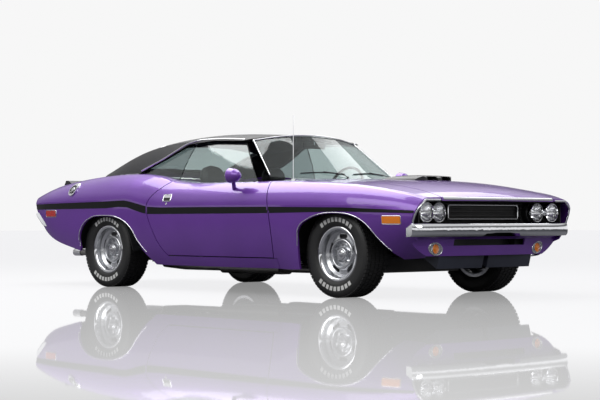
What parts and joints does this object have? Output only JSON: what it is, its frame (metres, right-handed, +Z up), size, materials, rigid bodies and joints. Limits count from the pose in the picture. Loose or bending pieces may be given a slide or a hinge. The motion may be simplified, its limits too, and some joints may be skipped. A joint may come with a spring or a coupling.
{
  "type": "two-door hardtop muscle car",
  "caption": "Purple two-door hardtop muscle car with a black vinyl roof, black side stripes, a hood scoop, chrome bumpers, opening doors, hood and trunk, and steered front wheels.",
  "frame": {"origin": "on the floor, under the middle of the length and width of the car", "axes": "+X forward to the nose, +Y to the car's left, +Z up"},
  "size_m": [4.8621, 2.0234, 1.3719],
  "materials": {
    "paint": "gloss",
    "vinyl": "satin",
    "chrome": "polished",
    "glass": "clear",
    "black_trim": "satin",
    "chassis_black": "satin",
    "headlamp_glass": "clear",
    "amber_lens": "gloss",
    "red_lens": "gloss",
    "tyre_rubber": "matte",
    "wheel_silver": "satin",
    "cast": "rough",
    "exhaust_steel": "satin",
    "upholstery": "satin",
    "dash_black": "satin"
  },
  "bodies": {
    "root": {"front_fenders": "paint", "quarter_panels": "paint", "cowl": "paint", "roof": "vinyl", "fixed_glass": "glass", "grille": "black_trim", "headlamps": "headlamp_glass", "front_bumper": "chrome", "front_valance": "paint", "amber_lamps": "amber_lens", "chin_spoilers": "black_trim", "tail_panel": "black_trim", "red_lamps": "red_lens", "rear_bumper": "chrome", "fuel_cap": "chrome", "antenna": "chrome", "front_suspension": "chassis_black", "rear_axle": "chassis_black", "floor_pan": "chassis_black", "trunk_floor": "chassis_black", "frame_rails": "chassis_black", "sill_boxes": "chassis_black", "hinge_posts": "chassis_black", "wheel_houses": "chassis_black", "engine": "cast", "hood_scoop": "black_trim", "driveline": "cast", "fuel_tank": "exhaust_steel", "exhaust": "exhaust_steel", "dashboard": "dash_black", "front_seats": "upholstery", "rear_seat": "upholstery", "parcel_shelf": "dash_black"},
    "door_left_body": {"door_left": "paint", "door_glass_left": "glass", "mirror_left": "paint"},
    "door_right_body": {"door_right": "paint", "door_glass_right": "glass", "mirror_right": "paint"},
    "hood_body": {"hood": "paint"},
    "deck_lid_body": {"deck_lid": "paint", "rear_spoiler": "black_trim"},
    "knuckle_left_body": {"knuckle_left": "cast"},
    "knuckle_right_body": {"knuckle_right": "cast"},
    "steering_wheel_body": {"steering_wheel": "dash_black"},
    "steering_linkage_body": {"steering_linkage": "chassis_black"},
    "wheel_front_left_body": {"wheel_front_left": "wheel_silver", "tyre_front_left": "tyre_rubber"},
    "wheel_front_right_body": {"wheel_front_right": "wheel_silver", "tyre_front_right": "tyre_rubber"},
    "wheel_rear_left_body": {"wheel_rear_left": "wheel_silver", "tyre_rear_left": "tyre_rubber"},
    "wheel_rear_right_body": {"wheel_rear_right": "wheel_silver", "tyre_rear_right": "tyre_rubber"}
  },
  "joints": [
    {"name": "knuckle_left_turn", "type": "hinge", "parent": "root", "child": "knuckle_left_body", "pos_m": [1.564, 0.7, 0.323], "axis": [0, 0, 1], "range_deg": [-30, 30]},
    {"name": "knuckle_right_turn", "type": "hinge", "parent": "root", "child": "knuckle_right_body", "pos_m": [1.564, -0.7, 0.323], "axis": [0, 0, 1], "range_deg": [-30, 30]},
    {"name": "steering_wheel_turn", "type": "hinge", "parent": "root", "child": "steering_wheel_body", "pos_m": [0.40824, 0.37, 0.82752], "axis": [-0.9336, 0, 0.3584], "range_deg": [-450, 450]},
    {"name": "steering_linkage_slide", "type": "slide", "parent": "root", "child": "steering_linkage_body", "axis": [0, -1, 0], "range_m": [-0.045, 0.045]},
    {"name": "door_left_swing", "type": "hinge", "parent": "root", "child": "door_left_body", "pos_m": [0.77274, 0.92, 0.5], "axis": [0, 0, -1], "range_deg": [0, 65]},
    {"name": "door_right_swing", "type": "hinge", "parent": "root", "child": "door_right_body", "pos_m": [0.77274, -0.92, 0.5], "axis": [0, 0, 1], "range_deg": [0, 65]},
    {"name": "hood_lift", "type": "hinge", "parent": "root", "child": "hood_body", "pos_m": [0.86564, 0, 0.88997], "axis": [0, -1, 0], "range_deg": [0, 55]},
    {"name": "deck_lid_lift", "type": "hinge", "parent": "root", "child": "deck_lid_body", "pos_m": [-1.5455, 0, 0.955], "axis": [0, 1, 0], "range_deg": [0, 50]},
    {"name": "wheel_front_left_spin", "type": "hinge", "parent": "knuckle_left_body", "child": "wheel_front_left_body", "pos_m": [1.564, 0.758, 0.323], "axis": [0, 1, 0], "continuous": true},
    {"name": "wheel_front_right_spin", "type": "hinge", "parent": "knuckle_right_body", "child": "wheel_front_right_body", "pos_m": [1.564, -0.758, 0.323], "axis": [0, 1, 0], "continuous": true},
    {"name": "wheel_rear_left_spin", "type": "hinge", "parent": "root", "child": "wheel_rear_left_body", "pos_m": [-1.23, 0.771, 0.323], "axis": [0, 1, 0], "continuous": true},
    {"name": "wheel_rear_right_spin", "type": "hinge", "parent": "root", "child": "wheel_rear_right_body", "pos_m": [-1.23, -0.771, 0.323], "axis": [0, 1, 0], "continuous": true}
  ],
  "couplings": [
    {"joint": "knuckle_right_turn", "follows": "knuckle_left_turn", "ratio": 1},
    {"joint": "steering_wheel_turn", "follows": "knuckle_left_turn", "ratio": 15},
    {"joint": "steering_linkage_slide", "follows": "knuckle_left_turn", "m_per_rad": 0.08}
  ]
}
